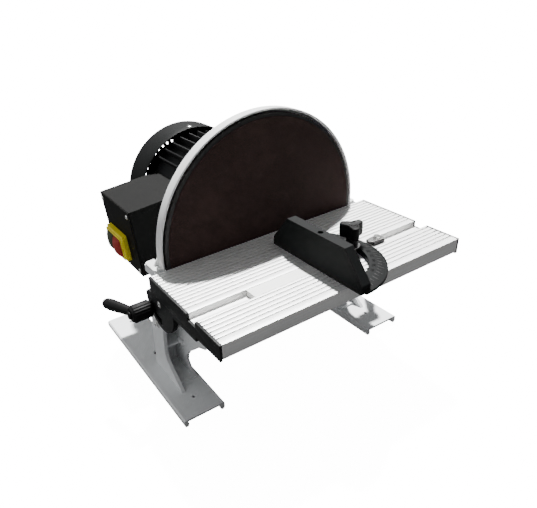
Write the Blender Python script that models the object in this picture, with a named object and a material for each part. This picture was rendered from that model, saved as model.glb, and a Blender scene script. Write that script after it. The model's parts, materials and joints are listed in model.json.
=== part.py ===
# Bench disc sander: a 300 mm sanding disc driven directly by a finned motor, with a tilting grooved
# table, a mitre gauge in its slot, and two channel-shaped feet.
# Lengths here are in millimetres; new_object scales every mesh to metres.
# Working frame: x across the table, disc face at y = 0 looking to -y, z = 0 at the floor,
# disc axis parallel to y. The empty machine_origin then centres the machine on its own box.

import math

import bmesh
import bpy
from mathutils import Matrix, Vector

MM = 0.001
GAP = 0.3                        # clearance between neighbouring pieces

# disc, guard and housing
AXIS_Z = 203.5                   # height of the disc axis
PAPER_R = 150.0
PAPER_T = 1.0
PLATE_R = 154.5
PLATE_T = 8.0
HUB_R = 26.0
HUB_END = 24.0
RIM_IN = 157.6
RIM_OUT = 160.5
RIM_FRONT = 1.5
PAN_BACK = 18.0
DISC_SIDES = 80
WALL_T = 2.5
SPLIT_Z = 190.0                  # guard above, housing below
EAR_X = 172.0
EAR_Y = (3.0, 34.0)
BULK_BACK = 26.0
BULK_R = 86.0
PORT_Z = 74.0
PORT_R = 29.0

# motor
SHAFT_R = 9.5
CORE_R = 84.0
BORE_R = 76.0
FIN_R = 95.0
FIN_COUNT = 38
BODY_Y = (58.3, 188.0)
BELL_Y = 26.3
COWL_R = 101.0
COWL_T = 1.6
COWL_Y = (190.2, 246.4)
VENT_COUNT = 24

# switch box, built upright and then leaned about its top outer edge
BOX_X = -166.0
BOX_Y = (84.5, 189.5)
BOX_Z = (140.0, 243.0)
BOX_WALL = 1.5
BOX_LEAN = math.radians(-4.4)
SWITCH_Y = (113.0, 172.5)
SWITCH_Z = (156.0, 197.0)
SWITCH_OUT = 11.0

# table
TABLE_TOP = 192.0
TABLE_T = 19.0
TABLE_Y = (-170.5, -2.5)
TABLE_HALF = 183.5
CAP_T = 3.0
CAP_DROP = 22.0
SLOT_Y = -110.6
SLOT_W = 19.05
SLOT_D = 8.0
GROOVE_PITCH = 7.0
GROOVE_W = 1.6
GROOVE_D = 1.0
REAR_GROOVES = 13
FRONT_GROOVES = 6
FIRST_REAR_GROOVE = -91.0
FIRST_FRONT_GROOVE = -124.3

# table tilt: pivot, half-moon and lock
TILT_Y = -24.0
TILT_Z = 162.0
MOON_R = 38.0
MOON_X = (176.2, 183.2)
SCALE_R = 40.5
SCALE_IN = 32.5
SCALE_SPAN = (math.radians(256), math.radians(354.3))
SEAT_R = 36.0
SEAT_X = (166.0, 174.2)
LOCK_R = 26.5
LOCK_ANGLE = math.radians(-34.5)
TILT_MAX = math.radians(45)
PIN_R = 3.0
STUD_R = 4.0

# feet and uprights
FOOT_X = (131.4, 193.6)
FOOT_Y = (-77.6, 195.4)
FOOT_TOP = 12.0
HOLE_X = 161.2
FOOT_HOLES = ((-44.5, 2.6), (71.3, 5.0), (170.0, 2.6))   # distance behind the disc face, radius
UPRIGHT_X = (137.0, 171.0)
UPRIGHT_T = 5.0

# mitre gauge
PIVOT_X = -3.5
BAR_X = (-103.5, 107.0)
BAR_HALF = 9.2
HEAD_Z = 192.3
PLATE_Z = 200.3
PROTRACTOR_R = 83.0
SLOT_MID_R = 56.0
SLOT_HALF = 4.5
SLOT_SPAN = math.radians(64)
FENCE_X = (-10.0, 3.5)
FENCE_Y = (-191.0, -31.0)
FENCE_CREST_Y = (-162.0, -60.0)
FENCE_SHOULDER = 203.8
FENCE_TOP = 240.0
SIGHT_Y = -115.0
KNOB_X = PIVOT_X + SLOT_MID_R
KNOB_TURN = math.radians(3)

Y_SHIFT = -(SLOT_Y - PROTRACTOR_R + COWL_Y[1]) / 2

COLOURS = {
    "cast_grey_paint": ((0.42, 0.43, 0.43), 0.55, 0.0),
    "white_paint": ((0.62, 0.62, 0.60), 0.45, 0.0),
    "black_paint": ((0.010, 0.010, 0.010), 0.5, 0.0),
    "aluminium": ((0.60, 0.60, 0.59), 0.35, 1.0),
    "black_plastic": ((0.008, 0.008, 0.008), 0.45, 0.0),
    "steel": ((0.50, 0.50, 0.50), 0.3, 1.0),
    "chrome": ((0.75, 0.75, 0.75), 0.12, 1.0),
    "copper": ((0.45, 0.16, 0.06), 0.4, 1.0),
    "abrasive": ((0.016, 0.009, 0.008), 0.9, 0.0),
    "yellow_plastic": ((0.72, 0.55, 0.03), 0.4, 0.0),
    "red_plastic": ((0.35, 0.02, 0.02), 0.35, 0.0),
    "green_plastic": ((0.10, 0.16, 0.09), 0.35, 0.0),
}


# ---- mesh helpers -------------------------------------------------------------------------------

def clear_scene():
    for obj in list(bpy.data.objects):
        bpy.data.objects.remove(obj, do_unlink=True)


def material(name):
    found = bpy.data.materials.get(name)
    if found:
        return found
    colour, roughness, metallic = COLOURS[name]
    made = bpy.data.materials.new(name)
    made.use_nodes = True
    shader = made.node_tree.nodes["Principled BSDF"]
    shader.inputs["Base Color"].default_value = (*colour, 1.0)
    shader.inputs["Roughness"].default_value = roughness
    shader.inputs["Metallic"].default_value = metallic
    made.diffuse_color = (*colour, 1.0)
    return made


def new_object(name, bm, slot, at=(0.0, 0.0, 0.0)):
    """An object whose origin is at the point at, with outward faces and smooth round sides."""
    bmesh.ops.remove_doubles(bm, verts=bm.verts, dist=0.001)
    bmesh.ops.recalc_face_normals(bm, faces=bm.faces)
    bmesh.ops.translate(bm, vec=-Vector(at), verts=bm.verts)
    bmesh.ops.scale(bm, vec=(MM, MM, MM), verts=bm.verts)
    mesh = bpy.data.meshes.new(name)
    bm.to_mesh(mesh)
    bm.free()
    mesh.shade_smooth()
    mesh.set_sharp_from_angle(angle=math.radians(32))
    mesh.materials.append(material(slot))
    obj = bpy.data.objects.new(name, mesh)
    obj.parent = machine
    obj.location = Vector(at) * MM
    bpy.context.collection.objects.link(obj)
    return obj


def combine(obj, bm, operation):
    """Add a tool solid to obj, or cut it away; the tool stays hidden as a guide."""
    tool = new_object(obj.name + "_tool", bm, "steel")
    tool.hide_render = True
    tool.display_type = "WIRE"
    step = obj.modifiers.new(operation.lower(), "BOOLEAN")
    step.operation = operation
    step.solver = "EXACT"
    step.object = tool


def fuse(obj, *tools):
    for bm in tools:
        combine(obj, bm, "UNION")


def cut(obj, *tools):
    for bm in tools:
        combine(obj, bm, "DIFFERENCE")


def place(axis, along, a, b):
    """A point from its distance along an axis and its two other coordinates in x, y, z order."""
    if axis == "x":
        return (along, a, b)
    if axis == "y":
        return (a, along, b)
    return (a, b, along)


def prism(outline, axis, low, high, hole=None):
    """An outline pushed along an axis; a hole is an outline with as many points."""
    bm = bmesh.new()
    loops = []
    for points in (outline, hole or []):
        ends = []
        for along in (low, high):
            ends.append([bm.verts.new(place(axis, along, a, b)) for a, b in points])
        loops.append(ends)
        for i in range(len(points)):
            j = (i + 1) % len(points)
            bm.faces.new((ends[0][i], ends[0][j], ends[1][j], ends[1][i]))
    outer, inner = loops
    for end in (0, 1):
        if hole:
            for i in range(len(outline)):
                j = (i + 1) % len(outline)
                bm.faces.new((outer[end][i], outer[end][j], inner[end][j], inner[end][i]))
        else:
            bm.faces.new(outer[end])
    return bm


def box(x, y, z):
    return prism([(y[0], z[0]), (y[1], z[0]), (y[1], z[1]), (y[0], z[1])], "x", x[0], x[1])


def arc(centre, radius, start, end, steps):
    """Points on an arc; angles in radians, both ends included."""
    points = []
    for i in range(steps + 1):
        angle = start + (end - start) * i / steps
        points.append((centre[0] + radius * math.cos(angle), centre[1] + radius * math.sin(angle)))
    return points


def circle(centre, radius, steps):
    return arc(centre, radius, 0.0, math.tau, steps)[:-1]


def cylinder(axis, centre, radius, low, high, steps=24):
    return prism(circle(centre, radius, steps), axis, low, high)


def turned(profile, axis, centre, steps):
    """A closed outline of (radius, distance along) points turned round an axis."""
    bm = bmesh.new()
    rings = []
    for radius, along in profile:
        if radius < 0.001:
            rings.append([bm.verts.new(place(axis, along, *centre))] * steps)
            continue
        rings.append([bm.verts.new(place(axis, along, a, b)) for a, b in circle(centre, radius, steps)])
    for i, ring in enumerate(rings):
        following = rings[(i + 1) % len(rings)]
        for k in range(steps):
            corner = [ring[k], ring[(k + 1) % steps], following[(k + 1) % steps], following[k]]
            face = list(dict.fromkeys(corner))
            if len(face) > 2:
                bm.faces.new(face)
    return bm


def moved(bm, matrix):
    bmesh.ops.transform(bm, matrix=matrix, verts=bm.verts)
    return bm


def mirrored_x(bm, side):
    """Pieces are drawn on the +x side; side -1 flips them to the left."""
    if side < 0:
        bmesh.ops.scale(bm, vec=(-1, 1, 1), verts=bm.verts)
    return bm


# ---- disc and its drive -------------------------------------------------------------------------

AXIS = (0.0, AXIS_Z)


def spinning(name, profile, slot, steps):
    return new_object(name, turned(profile, "y", AXIS, steps), slot, (0, 0, AXIS_Z))


def make_disc():
    paper = [(0, 0), (PAPER_R, 0), (PAPER_R, PAPER_T), (0, PAPER_T)]
    spinning("abrasive_disc", paper, "abrasive", DISC_SIDES)
    front = PAPER_T + GAP
    back = front + PLATE_T
    bore = SHAFT_R + GAP
    spinning("disc_plate", [
        (0, front), (PLATE_R - 0.8, front), (PLATE_R, front + 0.8), (PLATE_R, back),
        (HUB_R, back), (HUB_R, HUB_END), (bore, HUB_END), (bore, 5), (0, 5),
    ], "aluminium", DISC_SIDES)


def make_rotor():
    spinning("motor_shaft", [(0, 5.5), (SHAFT_R, 5.5), (SHAFT_R, 228), (0, 228)], "steel", 24)
    bore = SHAFT_R + GAP
    spinning("rotor_core", [(bore, 74), (45, 74), (45, 158), (bore, 158)], "steel", 32)


def make_fan():
    blades = 9
    outer = []
    inner = []
    for i in range(blades):
        start = math.tau * i / blades
        for radius, turn in ((24, 0.0), (78, 0.06), (78, 0.14), (24, 0.2)):
            angle = start + turn
            outer.append((radius * math.cos(angle), AXIS_Z + radius * math.sin(angle)))
            inner.append(((SHAFT_R + GAP) * math.cos(angle), AXIS_Z + (SHAFT_R + GAP) * math.sin(angle)))
    new_object("cooling_fan", prism(outer, "y", 204, 224, inner), "black_plastic", (0, 0, AXIS_Z))


# ---- guard and housing --------------------------------------------------------------------------

def pan(back):
    """The shallow pan round the disc, with a rounded front lip and an open middle."""
    return turned([
        (RIM_IN, 2.6), (158.3, RIM_FRONT), (159.8, RIM_FRONT), (RIM_OUT, 2.6),
        (RIM_OUT, back), (70, back), (70, PAN_BACK - WALL_T), (RIM_IN, PAN_BACK - WALL_T),
    ], "y", AXIS, DISC_SIDES)


def make_guard():
    guard = new_object("disc_guard", pan(PAN_BACK), "white_paint")
    far = RIM_OUT + 40
    cut(guard, box((-far, far), (-10, 60), (AXIS_Z - far, SPLIT_Z)))
    for side in (-1, 1):
        fuse(guard, mirrored_x(box((158.5, EAR_X), EAR_Y, (SPLIT_Z, SPLIT_Z + 3)), side))


def make_housing():
    housing = new_object("disc_housing", pan(20.0), "cast_grey_paint")
    far = RIM_OUT + 40
    top = SPLIT_Z - GAP
    back = PAN_BACK + GAP
    cut(housing, box((-far, far), (-10, 60), (top, AXIS_Z + far)))
    fuse(
        housing,
        prism(circle(AXIS, BULK_R, 48), "y", back, BULK_BACK),
        box((-131, 131), (back + 0.2, BULK_BACK - 0.2), (45, 150)),
    )
    for side in (-1, 1):
        fuse(
            housing,
            mirrored_x(box((158.5, EAR_X), EAR_Y, (SPLIT_Z - 10, top)), side),
            mirrored_x(box((128, UPRIGHT_X[0] - GAP), (back + 0.4, 44), (46, 108)), side),
        )
    cut(
        housing,
        cylinder("y", AXIS, 34, 0, 60, 32),
        cylinder("y", (0, PORT_Z), PORT_R - 3, 0, 60, 32),
    )


def make_dust_port():
    start = BULK_BACK + GAP
    profile = [(PORT_R - 2.5, start), (PORT_R + 7, start), (PORT_R + 7, start + 3), (PORT_R, start + 3),
               (PORT_R, 84), (PORT_R - 2.5, 84)]
    new_object("dust_port", turned(profile, "y", (0, PORT_Z), 32), "black_plastic")


# ---- motor --------------------------------------------------------------------------------------

def finned_outline():
    """Core circle with thin radial fins, left smooth where the switch box sits."""
    outer = []
    inner = []
    for i in range(FIN_COUNT):
        middle = math.tau * i / FIN_COUNT
        tip = FIN_R if not 138 < math.degrees(middle) < 228 else CORE_R
        for radius, turn in ((CORE_R, -0.018), (tip, -0.012), (tip, 0.012), (CORE_R, 0.018)):
            angle = middle + turn * (1 if tip > CORE_R else 2)
            outer.append((radius * math.cos(angle), AXIS_Z + radius * math.sin(angle)))
            inner.append((BORE_R * math.cos(angle), AXIS_Z + BORE_R * math.sin(angle)))
    return outer, inner


def fixed_ring(name, profile, slot, steps=32):
    return new_object(name, turned(profile, "y", AXIS, steps), slot)


def make_motor():
    outer, inner = finned_outline()
    new_object("motor_body", prism(outer, "y", *BODY_Y, inner), "black_paint")
    seat = 23.8
    fixed_ring("motor_front_bell", [
        (12, BELL_Y), (82, BELL_Y), (CORE_R, BELL_Y + 2), (CORE_R, BODY_Y[0] - GAP),
        (BORE_R, BODY_Y[0] - GAP), (BORE_R, 34), (30, 34), (30, 55), (seat, 55), (seat, 39.7), (12, 39.7),
    ], "black_paint", 48)
    wall = BODY_Y[1] + GAP
    fixed_ring("motor_rear_bell", [
        (12, 190.3), (12, 195), (CORE_R - 2, 195), (CORE_R, 193), (CORE_R, wall), (30, wall), (30, 174.5),
        (seat, 174.5), (seat, 190.3),
    ], "black_paint", 36)
    for name, start in (("front_bearing", 40), ("rear_bearing", 176)):
        fixed_ring(name, [(SHAFT_R + GAP, start), (23.5, start), (23.5, start + 14),
                          (SHAFT_R + GAP, start + 14)], "steel", 24)
    fixed_ring("stator_core", [(45.6, 76), (75.6, 76), (75.6, 156), (45.6, 156)], "steel")
    for name, low, high in (("front_winding", 61, 75.7), ("rear_winding", 156.3, 171)):
        fixed_ring(name, [(50, low), (70, low), (73, low + 4), (73, high), (48, high), (48, low + 4)],
                   "copper")


def make_cowl():
    front, back = COWL_Y
    inner = COWL_R - COWL_T
    skin = back - COWL_T
    cowl = fixed_ring("fan_cowl", [
        (inner, front), (COWL_R, front), (COWL_R, back - 9), (COWL_R - 2.2, back - 3.2),
        (COWL_R - 8, back), (0, back), (0, skin), (COWL_R - 8.6, skin),
        (COWL_R - 3.4, back - 4.4), (inner, back - 9.6),
    ], "black_paint", 48)
    slots = bmesh.new()
    for i in range(VENT_COUNT):
        turn = Matrix.Translation((0, 0, AXIS_Z)) @ Matrix.Rotation(math.tau * i / VENT_COUNT, 4, "Y")
        bar = moved(box((36, 88), (skin - 4, back + 4), (-2.6, 2.6)), turn)
        part = bpy.data.meshes.new("vent")
        bar.to_mesh(part)
        bar.free()
        slots.from_mesh(part)
        bpy.data.meshes.remove(part)
    cut(cowl, slots)


# ---- switch box ---------------------------------------------------------------------------------

def leaned(bm):
    corner = Vector((BOX_X, 0, BOX_Z[1]))
    lean = Matrix.Translation(corner) @ Matrix.Rotation(BOX_LEAN, 4, "Y") @ Matrix.Translation(-corner)
    return moved(bm, lean)


def leaned_point(x, y, z):
    corner = Vector((BOX_X, 0, BOX_Z[1]))
    return Matrix.Rotation(BOX_LEAN, 3, "Y") @ (Vector((x, y, z)) - corner) + corner


def rectangle(a, b, inset=0.0):
    return [(a[0] + inset, b[0] + inset), (a[1] - inset, b[0] + inset),
            (a[1] - inset, b[1] - inset), (a[0] + inset, b[1] - inset)]


def make_switch_box():
    inside = BOX_X + 1.2 + GAP
    tube = prism(rectangle(BOX_Y, BOX_Z), "x", inside, -62, rectangle(BOX_Y, BOX_Z, BOX_WALL))
    shell = new_object("switch_box", leaned(tube), "black_paint")
    gland_y = 150.0
    cut(
        shell,
        cylinder("y", AXIS, CORE_R + GAP, 40, 230, 76),
        leaned(cylinder("z", (-128, gland_y), 8.3, 130, 150, 24)),
    )
    new_object("switch_box_cover", leaned(prism(
        rectangle(BOX_Y, BOX_Z), "x", BOX_X, BOX_X + 1.2,
        rectangle((SWITCH_Y[0] + 10, SWITCH_Y[1] - 10), (SWITCH_Z[0] + 8, SWITCH_Z[1] - 8)))),
        "black_paint")
    gland = turned([(4.5, 148), (8, 148), (8, 140 - GAP), (12, 140 - GAP), (12, 132), (10, 126), (7, 118),
                    (4.5, 118)], "z", (-128, gland_y), 16)
    new_object("cable_gland", leaned(gland), "black_plastic")
    can = turned([(0, 96), (16, 96), (17, 97), (17, 162), (0, 162)], "y", (-128, 222), 28)
    new_object("run_capacitor", leaned(can), "aluminium")


def make_cover_screws():
    names = (("cover_screw_front_top", BOX_Y[0] + 7, BOX_Z[1] - 8),
             ("cover_screw_front_bottom", BOX_Y[0] + 7, BOX_Z[0] + 8),
             ("cover_screw_rear_top", BOX_Y[1] - 7, BOX_Z[1] - 8),
             ("cover_screw_rear_bottom", BOX_Y[1] - 7, BOX_Z[0] + 8))
    out = BOX_X - GAP
    for name, y, z in names:
        head = turned([(0, out), (3.5, out), (3.2, out - 1.2), (0, out - 1.8)], "x", (y, z), 16)
        new_object(name, leaned(head), "chrome")


def make_switch():
    """A yellow plate with a deep body behind it and one pocket for each button."""
    face = BOX_X - SWITCH_OUT
    back = BOX_X - GAP
    plate = prism(rectangle(SWITCH_Y, SWITCH_Z), "x", back, face + 3)
    housing = new_object("switch_housing", leaned(plate), "yellow_plastic")
    middle = (SWITCH_Y[0] + SWITCH_Y[1]) / 2
    cut_depth = face + 8
    fuse(
        housing,
        leaned(prism(rectangle(SWITCH_Y, SWITCH_Z, 2.5), "x", face + 5, face)),
        leaned(prism(rectangle((SWITCH_Y[0] + 10.5, SWITCH_Y[1] - 10.5),
                               (SWITCH_Z[0] + 8.5, SWITCH_Z[1] - 8.5)), "x", back - 2, back + 26)),
    )
    stop_y = (SWITCH_Y[0] + 5, middle - 1)
    start_y = (middle + 1, SWITCH_Y[1] - 5)
    button_z = (SWITCH_Z[0] + 6, SWITCH_Z[1] - 6)
    for name, span, slot, out in (("stop_button", stop_y, "red_plastic", 7.0),
                                  ("start_button", start_y, "green_plastic", 5.5)):
        cut(housing, leaned(prism(rectangle(span, button_z), "x", face - 5, cut_depth)))
        key = prism(rectangle(span, button_z, 0.6), "x", face - out, face + 4.5)
        at = leaned_point(face, (span[0] + span[1]) / 2, (button_z[0] + button_z[1]) / 2)
        new_object(name, leaned(key), slot, at)


# ---- table --------------------------------------------------------------------------------------

def slot_edges():
    return SLOT_Y + SLOT_W / 2, SLOT_Y - SLOT_W / 2


def table_profile():
    """Cross-section of the extrusion: grooved top, mitre slot, ribbed open underside."""
    top = TABLE_TOP
    under = TABLE_TOP - TABLE_T
    skin = top - 6
    slot_rear, slot_front = slot_edges()
    floor = top - SLOT_D
    points = [(TABLE_Y[1], under), (TABLE_Y[1], top)]
    for count, first in ((REAR_GROOVES, FIRST_REAR_GROOVE), (FRONT_GROOVES, FIRST_FRONT_GROOVE)):
        rear_run = first == FIRST_REAR_GROOVE
        centres = [first + GROOVE_PITCH * i * (1 if rear_run else -1) for i in range(count)]
        if not rear_run:
            points += [(slot_rear, top), (slot_rear, floor), (slot_front, floor), (slot_front, top)]
        for y in sorted(centres, reverse=True):
            points += [(y + GROOVE_W / 2, top), (y + GROOVE_W / 2, top - GROOVE_D),
                       (y - GROOVE_W / 2, top - GROOVE_D), (y - GROOVE_W / 2, top)]
    points += [(TABLE_Y[0], top), (TABLE_Y[0], under)]
    for front, rear in ((-166, -127), (-94, -54), (-50, -7)):
        points += [(front, under), (front, skin), (rear, skin), (rear, under)]
    return points


def cap_profile():
    slot_rear, slot_front = slot_edges()
    top = TABLE_TOP
    low = TABLE_TOP - CAP_DROP
    return [(TABLE_Y[1], low + 2), (TABLE_Y[1], top), (slot_rear, top), (slot_rear, top - SLOT_D),
            (slot_front, top - SLOT_D), (slot_front, top), (TABLE_Y[0], top), (TABLE_Y[0], low + 1),
            (TABLE_Y[0] + 1, low), (TABLE_Y[1] - 2, low)]


TILT = (0.0, TILT_Y, TILT_Z)


def arc_slot(half_width, low, high):
    """The curved slot that the lock stud runs in, with room past both tilt limits."""
    centre = (TILT_Y, TILT_Z)
    start = LOCK_ANGLE + math.radians(13)
    end = LOCK_ANGLE - TILT_MAX - math.radians(13)
    outline = arc(centre, LOCK_R + half_width, start, end, 10)
    outline += arc(centre, LOCK_R - half_width, end, start, 10)
    return prism(outline, "x", low, high)


def make_table():
    body_half = TABLE_HALF - CAP_T - GAP
    new_object("table_top", prism(table_profile(), "x", -body_half, body_half), "aluminium", TILT)
    for name, side in (("left_end_cap", -1), ("right_end_cap", 1)):
        cap = mirrored_x(prism(cap_profile(), "x", TABLE_HALF - CAP_T, TABLE_HALF), side)
        new_object(name, cap, "black_plastic", TILT)


def make_trunnion(word, side):
    """Half-moon plate and its mounting ledge under the table end, with the tilt scale behind it."""
    top = TABLE_TOP - CAP_DROP - GAP
    rail = 163.5
    centre = (TILT_Y, TILT_Z)
    rise = math.asin((rail - TILT_Z) / MOON_R)
    outline = [(-118, top), (-118, rail)] + arc(centre, MOON_R, math.pi - rise, math.tau + rise, 28)
    outline += [(6, top)]
    plate = new_object(word + "_trunnion", mirrored_x(prism(outline, "x", *MOON_X), side), "black_paint",
                       TILT)
    ledge = box((152, 180.2), (-117.5, -36), (rail + 4.2, TABLE_TOP - TABLE_T - GAP))
    fuse(plate, mirrored_x(ledge, side))
    cut(
        plate,
        mirrored_x(arc_slot(4.6, 170, 190), side),
        mirrored_x(cylinder("x", centre, PIN_R + GAP, 170, 190, 16), side),
    )
    start, end = SCALE_SPAN
    band = arc(centre, SCALE_R, start, end, 24) + arc(centre, SCALE_IN, end, start, 24)
    scale_x = (SEAT_X[1] + 0.5, MOON_X[0] - GAP)
    new_object(word + "_tilt_scale", mirrored_x(prism(band, "x", *scale_x), side), "aluminium", TILT)


# ---- feet, uprights and table lock --------------------------------------------------------------

def foot_profile():
    """Channel with rolled lips at both edges; drawn at the inner edge and mirrored to the outer."""
    inner, outer = FOOT_X
    lip = [(0, 10), (0, 4), (0.8, 1.2), (2.4, 0), (4.6, 0), (6.2, 1.2), (7, 4), (6, 8.5)]
    left = [(inner + x, z) for x, z in lip]
    right = [(outer - x, z) for x, z in reversed(lip)]
    return left + right + [(outer - 2, FOOT_TOP), (inner + 2, FOOT_TOP)]


def make_foot(word, side):
    foot = new_object(word + "_foot", mirrored_x(prism(foot_profile(), "y", *FOOT_Y), side),
                      "cast_grey_paint")
    for y, radius in FOOT_HOLES:
        cut(foot, cylinder("z", (side * HOLE_X, y), radius, 0, 20, 16))


def seat_outline():
    """Part of a disc below the table, cleared for the ledge at rest and at full tilt."""
    start = math.radians(-143.5)
    end = math.radians(8.3)
    points = arc((TILT_Y, TILT_Z), SEAT_R, start, end, 20)
    return points + [(TILT_Y - 2.3, TILT_Z + 5.2)]


def make_upright(word, side):
    low = FOOT_TOP + GAP
    inner, outer = UPRIGHT_X
    outside = [(-30, low), (-27, low + 3), (-4, 33), (8, 44), (12, 54), (9, 84), (6, 100), (-12, 112),
               (-40, 134), (-24, 158), (8, 158), (18, 130), (40, 112), (47, 60), (50, low)]
    upright = new_object(word + "_upright", mirrored_x(prism(outside, "x", outer - UPRIGHT_T, outer), side),
                         "cast_grey_paint")
    inside = [(-14, low), (0, 20), (7, 31), (4, 42), (-5, 54), (-19, 65.5), (-39, 83), (-57, 91),
              (-60, 97), (-46, 117.5), (45, 117.5), (45, low)]
    lock_y = TILT_Y + LOCK_R * math.cos(LOCK_ANGLE)
    lock_z = TILT_Z + LOCK_R * math.sin(LOCK_ANGLE)
    tools = [
        prism(inside, "x", inner, inner + UPRIGHT_T),
        box((inner + 1, outer - 1), (40, 44.5), (low + 0.2, 116)),
        box((inner + 1, outer - 1), (-20, 43), (112.5, 117)),
        box((inner + 1, outer - 1), (14, 42), (60, 62.6)),
        box((inner + 1, outer - 1), (-14, 44), (low + 0.1, low + 3)),
        cylinder("y", (inner + 5, 61.3), 4.5, 8, 20, 12),
        prism(seat_outline(), "x", *SEAT_X),
    ]
    fuse(upright, *[mirrored_x(tool, side) for tool in tools])
    cut(
        upright,
        mirrored_x(cylinder("x", (TILT_Y, TILT_Z), PIN_R + GAP, 150, 180, 16), side),
        mirrored_x(cylinder("x", (lock_y, lock_z), STUD_R + GAP, 150, 180, 16), side),
    )
    pin = cylinder("x", (TILT_Y, TILT_Z), PIN_R, UPRIGHT_X[1] - UPRIGHT_T, MOON_X[1], 16)
    new_object(word + "_pivot_pin", mirrored_x(pin, side), "steel")
    nut_inner = outer - UPRIGHT_T - GAP
    hexagon = circle((lock_y, lock_z), 7.5, 6)
    hole = circle((lock_y, lock_z), (STUD_R + GAP) / math.cos(math.pi / 6), 6)
    nut = prism(hexagon, "x", nut_inner - 6, nut_inner, hole)
    new_object(word + "_lock_nut", mirrored_x(nut, side), "steel")


def make_tilt_pointer(word, side):
    """Bent plate on the upright whose tip stands over the tilt scale."""
    x = UPRIGHT_X[1] + GAP
    blade = [(17, 96), (27, 96), (27, 108), (12, 124), (8, 124), (17, 108)]
    plate = new_object(word + "_tilt_pointer", mirrored_x(prism(blade, "x", x, x + 1.2), side), "chrome")
    fuse(plate, mirrored_x(cylinder("x", (22, 101), 3.4, x + 1, x + 3.6, 12), side))


def make_lock_lever(word, side, rest_turn):
    """Ribbed hub, inclined tapering handle and the stud that reaches the nut."""
    y = TILT_Y + LOCK_R * math.cos(LOCK_ANGLE)
    z = TILT_Z + LOCK_R * math.sin(LOCK_ANGLE)
    start = MOON_X[1] + 0.5
    hub = turned([(0, start), (8, start), (8, start + 4), (12, start + 4), (12, start + 29),
                  (10.5, start + 31), (5.5, start + 31), (5.5, start + 34), (0, start + 34)],
                 "x", (y, z), 24)
    root = Vector((207, y, z))
    tip = root + Vector((21, 57, -6))
    length = (tip - root).length
    grip = turned([(0, 0), (5.5, 0), (6.0, 14), (8.2, 0.72 * length), (7.6, 0.93 * length),
                   (5.0, length + 1), (0, length + 2.5)], "z", (0, 0), 14)
    aim = Vector((0, 0, 1)).rotation_difference(tip - root).to_matrix().to_4x4()
    moved(grip, Matrix.Translation(root) @ aim)
    stud = cylinder("x", (y, z), STUD_R, 158, start + 2, 16)
    centre = Vector((0, y, z))
    turn = Matrix.Translation(centre) @ Matrix.Rotation(rest_turn, 4, "X") @ Matrix.Translation(-centre)
    for piece in (hub, grip, stud):
        moved(piece, turn)
        mirrored_x(piece, side)
    lever = new_object(word + "_lock_lever", hub, "black_plastic", centre)
    fuse(lever, grip, stud)


# ---- mitre gauge --------------------------------------------------------------------------------

PIVOT = (PIVOT_X, SLOT_Y)


def make_bar():
    top = HEAD_Z - 0.6
    bar = new_object("miter_bar", box(BAR_X, (SLOT_Y - BAR_HALF, SLOT_Y + BAR_HALF),
                                      (TABLE_TOP - SLOT_D + GAP, top)), "steel")
    bore = 3.4
    cut(bar, cylinder("z", PIVOT, bore, 180, 196, 16), cylinder("z", (KNOB_X, SLOT_Y), bore, 180, 196, 16))
    bottom = TABLE_TOP - SLOT_D + 0.6
    new_object("miter_pivot_pin", cylinder("z", PIVOT, 3.1, bottom, 204, 16), "steel", (*PIVOT, 0))
    new_object("miter_lock_stud", cylinder("z", (KNOB_X, SLOT_Y), 3.1, bottom, 222, 16), "steel")
    block = box((86, 105), (SLOT_Y - 7, SLOT_Y + 7), (top + GAP, top + 4.5))
    new_object("miter_pointer_block", block, "black_plastic")
    arrow = [(81.5, SLOT_Y), (88, SLOT_Y + 5), (106, SLOT_Y + 6), (106, SLOT_Y - 6), (88, SLOT_Y - 5)]
    pointer = new_object("miter_pointer", prism(arrow, "z", top + 4.8, top + 6), "chrome")
    fuse(pointer, cylinder("z", (98, SLOT_Y), 4.5, top + 5.5, top + 8.6, 16))


def make_head():
    """Half-round protractor with a bevelled rim, joined to a tall fence with sloping ends."""
    plate = turned([(0, HEAD_Z), (PROTRACTOR_R, HEAD_Z), (PROTRACTOR_R, 196), (70, PLATE_Z), (0, PLATE_Z)],
                   "z", PIVOT, 64)
    head = new_object("miter_head", plate, "black_paint", (*PIVOT, 0))
    cut(head, box((-120, PIVOT_X - 1), (-220, 0), (180, 220)))
    front, rear = FENCE_Y
    fence = [(front, HEAD_Z), (front, FENCE_SHOULDER), (FENCE_CREST_Y[0], FENCE_TOP),
             (FENCE_CREST_Y[1], FENCE_TOP), (rear, FENCE_SHOULDER), (rear, HEAD_Z)]
    fuse(head, prism(fence, "x", *FENCE_X))
    start = -SLOT_SPAN
    end = SLOT_SPAN
    curve = arc(PIVOT, SLOT_MID_R + SLOT_HALF, start, end, 28)
    curve += arc(PIVOT, SLOT_MID_R - SLOT_HALF, end, start, 28)
    cut(
        head,
        prism(curve, "z", 185, 210),
        cylinder("z", PIVOT, 3.4, 180, 206, 16),
        cylinder("z", (PIVOT_X, SIGHT_Y), 3.5, 215, 250, 20),
    )


def knob_outline():
    """Three blunt arms with hollow sides between them."""
    points = []
    for arm in range(3):
        middle = KNOB_TURN + math.tau * arm / 3
        for radius, turn in ((15.5, -0.26), (16.6, -0.16), (16.6, 0.16), (15.5, 0.26),
                             (9.4, 0.75), (9.4, 1.344)):
            angle = middle + turn
            points.append((KNOB_X + radius * math.cos(angle), SLOT_Y + radius * math.sin(angle)))
    return points


def make_knob():
    centre = (KNOB_X, SLOT_Y)
    washer = turned([(3.5, PLATE_Z + GAP), (11, PLATE_Z + GAP), (11, PLATE_Z + 1.8), (3.5, PLATE_Z + 1.8)],
                    "z", centre, 20)
    new_object("miter_washer", washer, "chrome", (*centre, 0))
    stem = PLATE_Z + 2.1
    knob = new_object("miter_knob", prism(knob_outline(), "z", 214, 232), "black_plastic", (*centre, 0))
    fuse(knob, cylinder("z", centre, 8, stem, 215, 20))
    cut(knob, cylinder("z", centre, 3.4, 190, 224, 16))


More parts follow.
